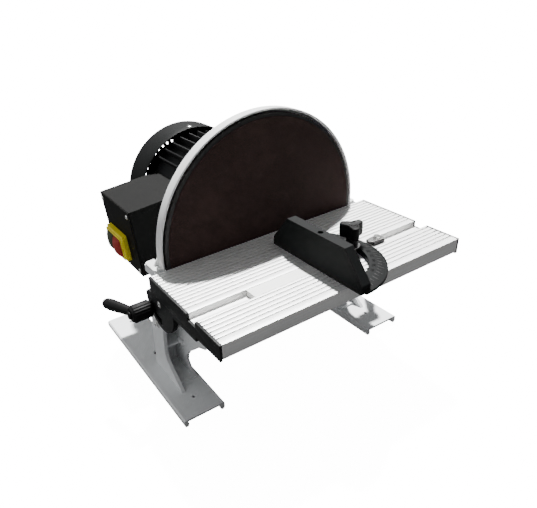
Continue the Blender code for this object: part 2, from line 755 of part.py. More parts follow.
# ---- the machine --------------------------------------------------------------------------------

clear_scene()
machine = bpy.data.objects.new("machine_origin", None)
machine.location = (0, Y_SHIFT * MM, 0)
bpy.context.collection.objects.link(machine)

make_disc()
make_rotor()
make_fan()
make_guard()
make_housing()
make_dust_port()
make_motor()
make_cowl()
make_switch_box()
make_cover_screws()
make_switch()
make_table()
for word, side, rest_turn in (("left", -1, 0.0), ("right", 1, math.radians(-60))):
    make_trunnion(word, side)
    make_foot(word, side)
    make_upright(word, side)
    make_tilt_pointer(word, side)
    make_lock_lever(word, side, rest_turn)
make_bar()
make_head()
make_knob()
bpy.context.view_layer.update()
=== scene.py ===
import json
import math

import bmesh
import bpy
import numpy as np
from mathutils import Matrix, Vector


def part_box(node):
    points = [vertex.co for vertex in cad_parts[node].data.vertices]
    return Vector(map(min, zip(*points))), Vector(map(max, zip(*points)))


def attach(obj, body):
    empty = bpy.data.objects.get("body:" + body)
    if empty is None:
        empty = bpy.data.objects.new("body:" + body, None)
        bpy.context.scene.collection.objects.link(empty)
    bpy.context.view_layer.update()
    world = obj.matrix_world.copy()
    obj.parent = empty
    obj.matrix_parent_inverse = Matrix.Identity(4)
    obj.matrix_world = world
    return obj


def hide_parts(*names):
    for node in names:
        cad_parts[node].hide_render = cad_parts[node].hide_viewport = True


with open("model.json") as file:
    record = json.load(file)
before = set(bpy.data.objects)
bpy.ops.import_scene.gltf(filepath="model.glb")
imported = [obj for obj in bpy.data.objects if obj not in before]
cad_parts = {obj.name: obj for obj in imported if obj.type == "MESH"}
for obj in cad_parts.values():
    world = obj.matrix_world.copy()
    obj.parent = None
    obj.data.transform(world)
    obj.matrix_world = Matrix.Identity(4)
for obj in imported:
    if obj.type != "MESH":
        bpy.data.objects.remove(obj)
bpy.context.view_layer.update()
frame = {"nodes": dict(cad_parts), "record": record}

# Shop units in this script are millimetres, with y = 0 on the face of the sanding disc.
paperLow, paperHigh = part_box("abrasive_disc")
faceY = paperLow[1] * 1000
axisZ = (paperLow[2] + paperHigh[2]) * 500
nodeBody = {node: body for body, nodes in frame["record"]["behaviour"]["bodies"].items()
            for node in nodes}
nodeSlot = {part["node"]: part["material_slot"] for part in frame["record"]["subparts"]}


def span(node, axis):
    # how far a node reaches along x, y or z, in shop units
    low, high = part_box(node)
    index = "xyz".index(axis)
    shift = faceY if axis == "y" else 0
    return low[index] * 1000 - shift, high[index] * 1000 - shift


class Wire:
    # a socket in a material's tree; sums on wires become Math nodes
    def __init__(self, tree, socket=None):
        self.tree = tree
        self.socket = socket

    def node(self, kind, settings=None, sockets=None, out=0):
        # any node: its settings first, then values or wires for its sockets
        made = self.tree.nodes.new(kind)
        for key, value in (settings or {}).items():
            setattr(made, key, value)
        for key, value in (sockets or {}).items():
            if isinstance(value, Wire):
                self.tree.links.new(value.socket, made.inputs[key])
            else:
                made.inputs[key].default_value = value
        return Wire(self.tree, made.outputs[out] if len(made.outputs) else None)

    def twin(self, out):
        # another output of the same node
        return Wire(self.tree, self.socket.node.outputs[out])

    def sum(self, operation, first, second):
        return self.node("ShaderNodeMath", {"operation": operation}, {0: first, 1: second})

    def __add__(self, other):
        return self.sum("ADD", self, other)

    __radd__ = __add__

    def __mul__(self, other):
        return self.sum("MULTIPLY", self, other)

    __rmul__ = __mul__

    def __sub__(self, other):
        return self.sum("SUBTRACT", self, other)

    def __rsub__(self, other):
        return self.sum("SUBTRACT", other, self)

    def __pow__(self, other):
        return self.sum("POWER", self, other)

    def __gt__(self, other):
        return self.sum("GREATER_THAN", self, other)


def rgba(colour, gain=1.0):
    return (*(min(1.0, c * gain) for c in colour), 1.0)


def noise(spot, scale, detail=3.0, rough=0.55):
    # scale is in waves per metre
    return spot.node("ShaderNodeTexNoise", {}, {"Vector": spot, "Scale": scale, "Detail": detail,
                                                "Roughness": rough})


def stretched(spot, scales):
    return spot.node("ShaderNodeMapping", {"vector_type": "POINT"},
                     {"Vector": spot, "Scale": scales})


def split(vector):
    # x, y and z of a vector as three wires
    across = vector.node("ShaderNodeSeparateXYZ", {}, {"Vector": vector})
    return across, across.twin(1), across.twin(2)


def mixed(factor, first, second):
    return factor.node("ShaderNodeMix", {"data_type": "RGBA"}, {0: factor, 6: first, 7: second}, 2)


def band(wire, low, high):
    # 0 under low, 1 over high
    return wire.node("ShaderNodeMapRange", {"interpolation_type": "SMOOTHSTEP"},
                     {"Value": wire, "From Min": low, "From Max": high})


def bumped(height, strength, distance):
    # distance is in metres
    return height.node("ShaderNodeBump", {}, {"Height": height, "Strength": strength,
                                              "Distance": distance})


def finish(name, paint):
    # one material: paint takes object coordinates and gives what goes on the shader's sockets
    made = bpy.data.materials.new(name)
    made.use_nodes = True
    tree = made.node_tree
    tree.nodes.clear()
    spot = Wire(tree).node("ShaderNodeTexCoord", {}, {}, 3)
    shell = spot.node("ShaderNodeBsdfPrincipled", {}, paint(spot))
    spot.node("ShaderNodeOutputMaterial", {}, {"Surface": shell})
    return made


# In every finish gloss is the base roughness and shine is the specular level.

def powderCoat(name, colour, grain, relief, gloss, patch, shine=0.5):
    # sprayed and baked paint: an orange-peel skin, cloudy thickness and a few dull rubbed spots
    look = {"fine": 3.1, "cloud": 17.0, "rub": 46.0, "rubbed": (0.56, 0.72), "paler": 2.2,
            "depth": 0.00035}

    def paint(spot):
        peel = noise(spot, grain, 2.0)
        fine = noise(spot, grain * look["fine"], 2.0)
        cloud = noise(spot, look["cloud"], 4.0)
        rub = band(noise(spot, look["rub"], 6.0, 0.7), *look["rubbed"])
        tint = mixed(cloud, rgba(colour, 1 - patch), rgba(colour, 1 + patch))
        return {"Base Color": mixed(rub * 0.35, tint, rgba(colour, 1 + look["paler"] * patch)),
                "Roughness": gloss + 0.12 * cloud + 0.10 * rub + 0.06 * peel,
                "Specular IOR Level": shine,
                "Normal": bumped(peel + 0.3 * fine, relief, look["depth"])}
    return finish(name, paint)


def castPaint(name, colour):
    # grey paint over a sand casting: a coarser skin, soft pits and dust in the low places
    look = {"skin": 640.0, "pits": 420.0, "cloud": 13.0, "dust": 70.0, "dusty": (0.52, 0.78),
            "dustColour": (0.50, 0.50, 0.49), "gloss": 0.38, "relief": 0.28, "depth": 0.0005}

    def paint(spot):
        skin = noise(spot, look["skin"], 4.0, 0.62)
        pits = spot.node("ShaderNodeTexVoronoi", {"feature": "SMOOTH_F1"},
                         {"Vector": spot, "Scale": look["pits"]})
        cloud = noise(spot, look["cloud"], 5.0)
        dust = band(noise(spot, look["dust"], 5.0, 0.7), *look["dusty"])
        tint = mixed(cloud, rgba(colour, 0.90), rgba(colour, 1.08))
        return {"Base Color": mixed(dust * 0.25, tint, rgba(look["dustColour"])),
                "Roughness": look["gloss"] + 0.16 * cloud + 0.12 * dust,
                "Normal": bumped(skin + 0.5 * pits, look["relief"], look["depth"])}
    return finish(name, paint)


def moulded(name, colour, gloss=0.42, relief=0.18, grain=1500, shine=0.35):
    # moulded plastic: spark-eroded texture with smoother handled patches
    look = {"flow": (9.0, 26.0, 26.0), "flowScale": 1.6, "worn": 60.0, "handled": (0.50, 0.70),
            "paler": 1.7, "depth": 0.00025}

    def paint(spot):
        spark = noise(spot, grain, 4.0, 0.7)
        flow = noise(stretched(spot, look["flow"]), look["flowScale"], 3.0)
        worn = band(noise(spot, look["worn"], 4.0), *look["handled"])
        tint = mixed(flow, rgba(colour, 0.82), rgba(colour, 1.20))
        return {"Base Color": mixed(worn * 0.30, tint, rgba(colour, look["paler"])),
                "Roughness": gloss + 0.14 * spark - 0.10 * worn, "Specular IOR Level": shine,
                "Normal": bumped(spark, relief, look["depth"])}
    return finish(name, paint)


def machined(name, colour, gloss, streak, metal=1.0):
    # ground or extruded metal: fine lines along the long side, faint stains between them
    look = {"stain": 24.0, "stained": (0.45, 0.75), "relief": 0.12, "depth": 0.00015}

    def paint(spot):
        lines = noise(stretched(spot, streak), 1.0, 3.0, 0.7)
        stain = noise(spot, look["stain"], 5.0, 0.6)
        tint = mixed(lines, rgba(colour, 0.86), rgba(colour, 1.10))
        return {"Base Color": mixed(band(stain, *look["stained"]) * 0.3, tint, rgba(colour, 0.80)),
                "Roughness": gloss + 0.16 * lines + 0.10 * stain, "Metallic": metal,
                "Normal": bumped(lines, look["relief"], look["depth"])}
    return finish(name, paint)


def turnedMetal(name, colour, gloss, metal):
    # lathe-turned face: rings round the disc axis, radius = root of (x squared + z squared)
    look = {"rings": 2400.0, "stain": 30.0, "relief": 0.2, "depth": 0.0001}

    def paint(spot):
        across, _, height = split(spot)
        up = height - axisZ / 1000
        radius = (across * across + up * up) ** 0.5
        rings = noise(spot.node("ShaderNodeCombineXYZ", {}, {0: radius}), look["rings"], 2.0)
        stain = noise(spot, look["stain"], 4.0)
        return {"Base Color": mixed(rings, rgba(colour, 0.75), rgba(colour, 1.25)),
                "Metallic": metal, "Roughness": gloss + 0.14 * rings + 0.12 * stain,
                "Normal": bumped(rings, look["relief"], look["depth"])}
    return finish(name, paint)


def gritPaper(name, colour):
    # abrasive grains in glue: sharp cells, darker resin between them and paler loaded streaks
    look = {"grains": 1500.0, "clump": 260.0, "worn": 16.0, "loaded": (0.48, 0.70),
            "loadedColour": (0.062, 0.034, 0.030), "gloss": 0.74, "shine": 0.28, "relief": 0.7,
            "depth": 0.0006}

    def paint(spot):
        cells = spot.node("ShaderNodeTexVoronoi", {"feature": "F1"},
                          {"Vector": spot, "Scale": look["grains"]})
        grain = cells.node("ShaderNodeSeparateColor", {}, {"Color": cells.twin("Color")})
        clump = noise(spot, look["clump"], 4.0, 0.7)
        worn = noise(spot, look["worn"], 4.0, 0.6)
        tint = mixed(grain * 0.6 + clump * 0.4, rgba(colour, 0.55), rgba(colour, 1.75))
        return {"Base Color": mixed(band(worn, *look["loaded"]) * 0.35, tint,
                                    rgba(look["loadedColour"])),
                "Roughness": look["gloss"] + 0.16 * clump, "Specular IOR Level": look["shine"],
                "Normal": bumped(1 - cells + 0.6 * clump, look["relief"], look["depth"])}
    return finish(name, paint)


def plated(name, colour):
    # bright plating with fingerprints and tiny pits
    look = {"haze": 150.0, "pits": 1900.0, "gloss": 0.14, "relief": 0.06, "depth": 0.0001}

    def paint(spot):
        haze = noise(spot, look["haze"], 5.0, 0.65)
        pits = noise(spot, look["pits"], 1.0)
        return {"Base Color": mixed(haze, rgba(colour, 0.86), rgba(colour, 1.1)),
                "Metallic": 1.0, "Roughness": look["gloss"] + 0.14 * haze,
                "Normal": bumped(pits, look["relief"], look["depth"])}
    return finish(name, paint)


def woundCopper(name, colour):
    # varnished copper turns, packed along the shaft
    look = {"wires": (30.0, 1100.0, 30.0), "gloss": 0.3, "metal": 0.8, "relief": 0.5,
            "depth": 0.0004}

    def paint(spot):
        wires = noise(stretched(spot, look["wires"]), 1.0, 2.0)
        return {"Base Color": mixed(wires, rgba(colour, 0.5), rgba(colour, 1.2)),
                "Metallic": look["metal"], "Roughness": look["gloss"] + 0.2 * wires,
                "Normal": bumped(wires, look["relief"], look["depth"])}
    return finish(name, paint)


finishes = {
    "abrasive_paper": gritPaper("disc_grit", (0.028, 0.0142, 0.0125)),
    "disc_plate_aluminium": turnedMetal("turned_plate", (0.045, 0.045, 0.045), gloss=0.48,
                                        metal=0.6),
    "bright_steel": machined("machined_steel", (0.46, 0.46, 0.45), gloss=0.26,
                             streak=(300.0, 300.0, 1500.0)),
    "black_plastic": moulded("black_plastic", (0.012, 0.012, 0.012)),
    "guard_white_paint": powderCoat("guard_white", (0.76, 0.77, 0.76), grain=950, relief=0.5,
                                    gloss=0.46, patch=0.05),
    "grey_paint": castPaint("cast_grey", (0.74, 0.755, 0.76)),
    "motor_black_paint": powderCoat("motor_black", (0.0055, 0.0060, 0.0064), grain=700,
                                    relief=0.3, gloss=0.44, patch=0.25, shine=0.20),
    "cowl_black_paint": powderCoat("cowl_black", (0.0052, 0.0055, 0.0055), grain=1300,
                                   relief=0.3, gloss=0.50, patch=0.12, shine=0.09),
    "copper_winding": woundCopper("varnished_copper", (0.45, 0.16, 0.06)),
    "box_black_paint": powderCoat("box_black", (0.0055, 0.0055, 0.0052), grain=1500,
                                  relief=0.45, gloss=0.56, patch=0.10, shine=0.08),
    "capacitor_can": machined("drawn_can", (0.6, 0.6, 0.6), gloss=0.3,
                              streak=(300.0, 12.0, 300.0)),
    "chrome": plated("bright_plating", (0.80, 0.80, 0.78)),
    "yellow_plastic": moulded("yellow_plastic", (0.80, 0.66, 0.02), gloss=0.34, relief=0.10),
    "red_plastic": moulded("red_plastic", (0.30, 0.030, 0.022), gloss=0.40, relief=0.06,
                           shine=0.2),
    "green_plastic": moulded("green_plastic", (0.045, 0.055, 0.030), gloss=0.40, relief=0.06,
                             shine=0.2),
    "table_aluminium": machined("brushed_table", (0.80, 0.80, 0.79), gloss=0.38,
                                streak=(7.0, 900.0, 900.0), metal=0.55),
    "cap_plastic": moulded("cap_black", (0.0070, 0.0074, 0.0076), gloss=0.48, shine=0.2),
    "trunnion_black_paint": powderCoat("trunnion_black", (0.0080, 0.0086, 0.0088), grain=1000,
                                       relief=0.5, gloss=0.48, patch=0.15, shine=0.25),
    "scale_aluminium": machined("scale_metal", (0.66, 0.66, 0.66), gloss=0.28,
                                streak=(900.0, 30.0, 900.0)),
    "lever_plastic": moulded("lever_black", (0.0040, 0.0040, 0.0040), gloss=0.46, relief=0.3,
                             grain=1100, shine=0.12),
    "bar_steel": machined("ground_bar", (0.72, 0.72, 0.70), gloss=0.38,
                          streak=(10.0, 800.0, 800.0), metal=0.35),
    "gauge_black_paint": powderCoat("gauge_black", (0.0062, 0.0068, 0.0068), grain=900,
                                    relief=0.30, gloss=0.52, patch=0.14, shine=0.10),
    "knob_plastic": moulded("knob_black", (0.0050, 0.0050, 0.0050), gloss=0.50, shine=0.15),
}
markPaint = moulded("mark_paint", (0.0012, 0.0012, 0.0012), gloss=0.6, shine=0.05)
paleMark = moulded("pale_mark", (0.035, 0.035, 0.035), gloss=0.5)
print("finishes ready:", len(finishes))


# Every shape below is a pair (points, faces) in shop units.

def gridFaces(rows, columns, wrapRows=False, wrapColumns=True):
    # four-sided faces between neighbouring rows and columns of points
    r = np.arange(rows if wrapRows else rows - 1)[:, None]
    c = np.arange(columns if wrapColumns else columns - 1)[None, :]
    nextR, nextC = (r + 1) % rows, (c + 1) % columns
    corners = np.broadcast_arrays(r * columns + c, r * columns + nextC, nextR * columns + nextC,
                                  nextR * columns + c)
    return np.stack(corners, -1).reshape(-1, 4)


def loft(rings, wrap=False):
    # rings of points joined one to the next; open ends get a flat cap
    rows, columns = rings.shape[:2]
    faces = gridFaces(rows, columns, wrap).tolist()
    if not wrap:
        faces += [list(range(columns)), list(range((rows - 1) * columns, rows * columns))]
    return rings.reshape(-1, 3), faces


def together(*shapes):
    # several shapes in one mesh
    points, faces, count = [], [], 0
    for shapePoints, shapeFaces in shapes:
        points.append(shapePoints)
        faces += [[index + count for index in face] for face in shapeFaces]
        count += len(shapePoints)
    return np.concatenate(points), faces


def placed(axis, along, a, b):
    # a point from its distance along an axis and its two other coordinates, in x, y, z order
    along, a, b = np.broadcast_arrays(along, a, b)
    order = {"x": (along, a, b), "y": (a, along, b), "z": (a, b, along)}[axis]
    return np.stack(order, -1).astype(float)


def fullTurn(steps):
    return math.tau * np.arange(steps) / steps


def lathe(profile, axis="y", centre=(0.0, axisZ), steps=96):
    # a closed outline (radius, along) carried round an axis: a = r cos t, b = r sin t
    profile = np.asarray(profile, float)
    angle = fullTurn(steps)[:, None]
    radius, along = profile[:, 0], profile[:, 1]
    return loft(placed(axis, along[None, :], centre[0] + radius * np.cos(angle),
                       centre[1] + radius * np.sin(angle)), True)


def eased(outline, radius=0.5, steps=3):
    # every corner of a closed outline becomes a short curve: (1-t)^2 A + 2t(1-t) corner + t^2 B,
    # where A and B lie on its two sides, radius away or at most 0.45 of the side
    here = np.asarray(outline, float)
    before, after = np.roll(here, 1, 0) - here, np.roll(here, -1, 0) - here
    backLength = np.linalg.norm(before, axis=1, keepdims=True)
    nextLength = np.linalg.norm(after, axis=1, keepdims=True)
    radius = np.asarray(radius, float).reshape(-1, 1)
    reach = np.minimum(np.minimum(radius, 0.45 * backLength), 0.45 * nextLength)
    a = (here + before / backLength * reach)[:, None, :]
    b = (here + after / nextLength * reach)[:, None, :]
    t = np.linspace(0, 1, steps)[None, :, None]
    return ((1 - t) ** 2 * a + 2 * t * (1 - t) * here[:, None, :] + t ** 2 * b).reshape(-1, 2)


def inset(outline, depth):
    # an outline drawn in by depth along the mean normal of the two sides at each point
    x, y = outline.T
    side = np.roll(outline, -1, 0) - outline
    area = 0.5 * np.sum(x * np.roll(y, -1) - np.roll(x, -1) * y)
    normal = np.stack([side[:, 1], -side[:, 0]], 1) * math.copysign(1.0, area)
    normal /= np.linalg.norm(normal, axis=1, keepdims=True) + 1e-9
    both = normal + np.roll(normal, 1, 0)
    both /= np.linalg.norm(both, axis=1, keepdims=True) + 1e-9
    lean = np.clip(np.sum(both * normal, 1, keepdims=True), 0.5, 1)
    return outline - both / lean * depth


def softPrism(outline, axis, low, high, edge=0.4, steps=3):
    # an outline carried along an axis; both ends draw in round a quarter circle of radius edge
    outline = np.asarray(outline, float)
    turn = np.linspace(0, math.pi / 2, steps)
    drawn = edge * (1 - np.sin(turn))
    step = edge * (1 - np.cos(turn))
    rings = [placed(axis, low + s, *inset(outline, d).T) for d, s in zip(drawn, step)]
    rings += [placed(axis, high - s, *inset(outline, d).T)
              for d, s in zip(drawn[::-1], step[::-1])]
    return loft(np.stack(rings))


def block(x, y, z, edge=0.4, corner=0.4):
    # a box with eased corners and edges, from its (low, high) along each axis
    outline = [(y[0], z[0]), (y[1], z[0]), (y[1], z[1]), (y[0], z[1])]
    return softPrism(eased(outline, corner), "x", x[0], x[1], edge)


def moved(x, y, z):
    return Matrix.Translation((x, y, z))


def turned(degrees, axis):
    return Matrix.Rotation(math.radians(degrees), 4, axis)


def turnedBy(shape, matrix):
    # a shape moved by a 4x4 matrix in shop units
    points = np.c_[shape[0], np.ones(len(shape[0]))] @ np.array(matrix).T
    return points[:, :3], shape[1]


def flipped(shape):
    # the same shape on the other side of the machine
    return shape[0] * np.array([-1.0, 1.0, 1.0]), shape[1]


def asDrawn(shape):
    return shape


def piece(name, shape, slot, body, replaced=(), material=None, sharp=35.0):
    # a finished piece in the row frame: doubles merged, faces turned outwards, creases kept
    bm = bmesh.new()
    mesh = bpy.data.meshes.new(name)
    points = (shape[0] + np.array([0.0, faceY, 0.0])) / 1000
    mesh.from_pydata(points.tolist(), [], shape[1])
    bm.from_mesh(mesh)
    bmesh.ops.remove_doubles(bm, verts=bm.verts, dist=2e-6)
    bmesh.ops.dissolve_degenerate(bm, edges=bm.edges, dist=1e-6)
    bmesh.ops.recalc_face_normals(bm, faces=bm.faces)
    bm.to_mesh(mesh)
    bm.free()
    mesh.shade_smooth()
    mesh.set_sharp_from_angle(angle=math.radians(sharp))
    return settle(name, mesh, slot, body, replaced, material)


def settle(name, mesh, slot, body, replaced=(), material=None):
    # the mesh as an object on its body, with its slot and the CAD nodes it stands for
    mesh.materials.clear()
    mesh.materials.append(material or finishes[slot])
    obj = bpy.data.objects.new(name, mesh)
    bpy.context.scene.collection.objects.link(obj)
    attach(obj, body)
    if replaced:
        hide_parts(*replaced)
    return obj


def softened(node, edge, segments=2):
    # a merged copy of a CAD node's surface, flat areas rejoined and its edges eased
    easing = {"merge": 1e-5, "flat": math.radians(0.6), "crease": math.radians(30)}
    bm = bmesh.new()
    bm.from_mesh(frame["nodes"][node].data)
    bmesh.ops.remove_doubles(bm, verts=bm.verts, dist=easing["merge"])
    bmesh.ops.dissolve_limit(bm, angle_limit=easing["flat"], verts=bm.verts, edges=bm.edges,
                             use_dissolve_boundaries=False)
    bmesh.ops.recalc_face_normals(bm, faces=bm.faces)
    bm.verts.index_update()
    points = [vert.co.copy() for vert in bm.verts]
    faces = [[vert.index for vert in face.verts] for face in bm.faces]
    bm.free()
    mesh = bpy.data.meshes.new(node + "_soft")
    mesh.from_pydata(points, [], faces)
    mesh.shade_smooth()
    mesh.set_sharp_from_angle(angle=easing["crease"])
    obj = settle(node + "_soft", mesh, nodeSlot[node], nodeBody[node], (node,))
    bevel = obj.modifiers.new("eased_edges", "BEVEL")
    bevel.width = edge / 1000
    bevel.segments = segments
    bevel.limit_method = "ANGLE"
    bevel.angle_limit = easing["crease"]
    bevel.use_clamp_overlap = True
    bevel.harden_normals = True


def makeDisc():
    # a sheet of flat rings (radius, y) turned round the shaft
    paper = {"radius": 150.0, "thick": 1.0, "flat": 149.0, "rings": 40, "steps": 240,
             "fray": 0.12, "frayFrom": 149.2}
    radius, thick = paper["radius"], paper["thick"]
    front = [(r, 0.0) for r in np.linspace(0.6, paper["flat"], paper["rings"])]
    rim = [(radius - 0.3, 0.05), (radius, 0.3), (radius, 0.75), (radius - 0.2, thick)]
    points, faces = lathe([(0, 0)] + front + rim + [(0, thick)], steps=paper["steps"])
    # the cut rim wanders a little: it draws in by fray (1 + sin 7t sin 31t) / 2
    t = np.arctan2(points[:, 2] - axisZ, points[:, 0])
    r = np.hypot(points[:, 0], points[:, 2] - axisZ)
    wander = paper["fray"] * (1 + np.sin(7 * t) * np.sin(31 * t)) / 2
    pull = 1 - np.where(r > paper["frayFrom"], wander, 0) / radius
    points[:, 0] *= pull
    points[:, 2] = axisZ + (points[:, 2] - axisZ) * pull
    piece("sanding_disc", (points, faces), "abrasive_paper", "disc_drive", ("abrasive_disc",))

    # a turned plate with a raised ring and a hub on its back, and one balance screw
    plate = {"rim": 154.5, "thick": 8.0, "ring": (30, 58), "ringRise": 2.0, "hub": 26,
             "bore": 9.8, "boreEnd": 5, "screwUp": 120, "steps": 200}
    low, high = span("disc_plate", "y")
    rim, back, hub = plate["rim"], low + plate["thick"], plate["hub"]
    ringIn, ringOut = plate["ring"]
    outline = [(0, low), (rim - 1.1, low), (rim - 0.4, low + 0.3), (rim, low + 0.9),
               (rim, back - 0.7), (rim - 0.4, back), (ringOut + 2, back),
               (ringOut, back + plate["ringRise"]), (ringIn, back + plate["ringRise"]),
               (hub, back + 0.5), (hub, high - 0.8), (hub - 0.8, high), (plate["bore"], high),
               (plate["bore"], plate["boreEnd"]), (0, plate["boreEnd"])]
    screw = [(0, back - 0.1), (7, back - 0.1), (7, back + 0.6), (6.4, back + 1.0),
             (3, back + 1.0), (2.6, back + 0.4), (0, back + 0.4)]
    balance = lathe(screw, "y", (0, axisZ + plate["screwUp"]), 24)
    piece("disc_plate_turned", together(lathe(outline, steps=plate["steps"]), balance),
          "disc_plate_aluminium", "disc_drive", ("disc_plate",))


def makeGuard():
    # a profile (radius, y) carried round the top of the disc, from one level end to the other
    guard = {"split": 190.0, "outer": 160.5, "inner": 157.6, "front": 1.5, "back": 18.0,
             "open": 70.0, "sheet": 2.5, "corner": 3.0, "steps": 161}
    ear = {"x": (157.4, 172.0), "y": (3.0, 34.0), "thick": 3, "corner": 6.0,
           "web": [(159.4, 193), (167, 193), (159.4, 204)], "webY": (14.6, 17.6)}
    outerR, innerR, back, round_ = guard["outer"], guard["inner"], guard["back"], guard["corner"]
    half = (outerR - innerR) / 2
    lipTurn = np.linspace(math.pi, 0, 9)
    lip = np.stack([innerR + half + half * np.cos(lipTurn),
                    guard["front"] + half - half * np.sin(lipTurn)], 1)
    turn = np.linspace(0, math.pi / 2, 6)
    outer = np.stack([outerR - round_ + round_ * np.cos(turn),
                      back - round_ + round_ * np.sin(turn)], 1)
    inside = back - guard["sheet"]
    inner = [(guard["open"], back), (guard["open"], inside), (innerR - 1.5, inside),
             (innerR, inside - 1.5)]
    profile = np.concatenate([lip, outer, np.array(inner)])
    # the band's ends are level: each radius starts at the angle where it meets the split height
    drop = np.arcsin((axisZ - guard["split"]) / profile[:, 0])
    share = np.linspace(0, 1, guard["steps"])[:, None]
    angle = -drop[None, :] + share * (math.pi + 2 * drop[None, :])
    rings = placed("y", profile[:, 1][None, :], profile[:, 0] * np.cos(angle),
                   axisZ + profile[:, 0] * np.sin(angle))
    (nearX, farX), (frontY, rearY) = ear["x"], ear["y"]
    foot = eased([(nearX, frontY), (farX, frontY), (farX, rearY), (nearX, rearY)],
                 [0.3, ear["corner"], ear["corner"], 0.3], 7)
    plate = softPrism(foot, "z", guard["split"], guard["split"] + ear["thick"], 0.6)
    web = softPrism(eased(ear["web"], 0.8), "y", *ear["webY"], 0.5)
    piece("guard_shell", together(loft(rings), plate, flipped(plate), web, flipped(web)),
          "guard_white_paint", "base", ("disc_guard",))


def makeMotor():
    # radius as a function of angle: one fin's flank repeated round the body, bare at the junction
    motor = {"core": 84.0, "bore": 76.0, "fins": 38, "bare": (138, 228), "ends": 0.7,
             "flank": [(-0.052, 84.0), (-0.029, 84.3), (-0.0195, 85.6), (-0.0130, 93.9),
                       (-0.0085, 94.9), (0.0085, 94.9), (0.0130, 93.9), (0.0195, 85.6),
                       (0.029, 84.3), (0.052, 84.0)]}
    low, high = span("motor_body", "y")
    lean, reach = np.array(motor["flank"]).T
    middle = fullTurn(motor["fins"])
    degrees = np.degrees(middle)
    bare = (degrees > motor["bare"][0]) & (degrees < motor["bare"][1])
    angle = (middle[:, None] + lean[None, :]).reshape(-1)
    radius = np.where(bare[:, None], motor["core"], reach[None, :]).reshape(-1)
    # fins draw in at both ends
    drawn = np.where(radius > motor["core"] + 2, 1 - motor["ends"] / radius, 1.0)

    def ring(along, size):
        return placed("y", along, size * np.cos(angle), axisZ + size * np.sin(angle))

    rings = [ring(low, radius * drawn), ring(low + motor["ends"], radius),
             ring(high - motor["ends"], radius), ring(high, radius * drawn),
             ring(high, motor["bore"]), ring(low, motor["bore"])]
    piece("motor_fins", loft(np.stack(rings), True), "motor_black_paint", "base",
          ("motor_body",), sharp=40)
    for node in ("motor_front_bell", "motor_rear_bell"):
        softened(node, 0.6)


def makeCowl():
    # a sheet (radius, y) turned round the shaft; cells of its grid are left out as holes
    cowl = {"radius": 101.0, "corner": 9, "columns": 144, "hole": 4.2,
            "rings": (73.2, 48.0, 38.0, 28.0), "fine": 60.0, "blank": (16, 38), "hub": 12,
            "sheet": 0.0014}
    screw = {"radius": 4.6, "height": 2.0, "count": 4, "in": 8.5, "seat": 100.9}
    front, back = span("fan_cowl", "y")
    outer, round_ = cowl["radius"], cowl["corner"]
    skirt = [(outer - 1.0, front), (outer - 0.3, front + 0.3), (outer, front + 1.0),
             (outer, front + 12)]
    turn = np.linspace(0, math.pi / 2, 7)
    corner = [(outer - round_ + round_ * math.cos(t), back - round_ + round_ * math.sin(t))
              for t in turn]
    wall = []
    for start in cowl["rings"]:
        wall += [(start, back), (start - cowl["hole"], back)]
    path = np.array(skirt + corner + wall + [(cowl["hub"], back), (4, back - 0.2)])
    angle = fullTurn(cowl["columns"])
    points = placed("y", path[:, 1][:, None], path[:, 0][:, None] * np.cos(angle),
                    axisZ + path[:, 0][:, None] * np.sin(angle))
    rows, columns = points.shape[:2]
    faces = gridFaces(rows, columns)
    row, column = faces[:, 0] // columns, faces[:, 0] % columns
    ring = row - len(skirt) - len(corner)
    inHoles = (ring >= 0) & (ring < len(wall)) & (ring % 2 == 0)
    fine = path[row, 0] > cowl["fine"]
    # the rating plate's patch has no holes
    blank = (column > cowl["blank"][0]) & (column < cowl["blank"][1])
    pierced = inHoles & np.where(fine, (column % 3 == 0) & ~blank, column % 6 < 3)
    kept = faces[~pierced].tolist()
    kept.append(list(range((rows - 1) * columns, rows * columns)))
    obj = piece("cowl_shell", (points.reshape(-1, 3), kept), "cowl_black_paint", "base",
                ("fan_cowl",))
    wallMaker = obj.modifiers.new("sheet", "SOLIDIFY")
    wallMaker.thickness = cowl["sheet"]
    wallMaker.offset = -1
    wallMaker.use_even_offset = False
    head = turnedBy(screwHead(screw["radius"], screw["height"]),
                    moved(screw["seat"], 0, 0) @ turned(90, "Y"))
    screws = [turnedBy(head, moved(0, front + screw["in"], axisZ)
                       @ turned(-90 - 360 / screw["count"] * i, "Y"))
              for i in range(screw["count"])]
    piece("cowl_screws", together(*screws), "chrome", "base")


def screwHead(radius, height, recess=0.55):
    # dome: height (1 - 0.75 s^2.4) at s = r / radius, less the recess where s is under 0.6
    # and |sin 2t| is small, which makes the cross
    screw = {"shares": [0.0, 0.12, 0.24, 0.36, 0.48, 0.60, 0.72, 0.84, 0.94, 1.0], "steps": 32,
             "drop": 0.75, "power": 2.4, "crossReach": 0.6, "crossWidth": 0.45}
    share = np.array(screw["shares"])[:, None]
    angle = fullTurn(screw["steps"])[None, :]
    cross = (np.abs(np.sin(2 * angle)) < screw["crossWidth"]) & (share < screw["crossReach"])
    dome = height * (1 - screw["drop"] * share ** screw["power"]) - np.where(cross, recess, 0.0)
    top = np.stack([radius * share * np.cos(angle), radius * share * np.sin(angle), dome], -1)
    skirt = np.stack([radius * np.cos(angle), radius * np.sin(angle), 0 * angle], -1)
    rings = np.concatenate([top, skirt, skirt * 0.0])
    return rings.reshape(-1, 3), gridFaces(*rings.shape[:2]).tolist()


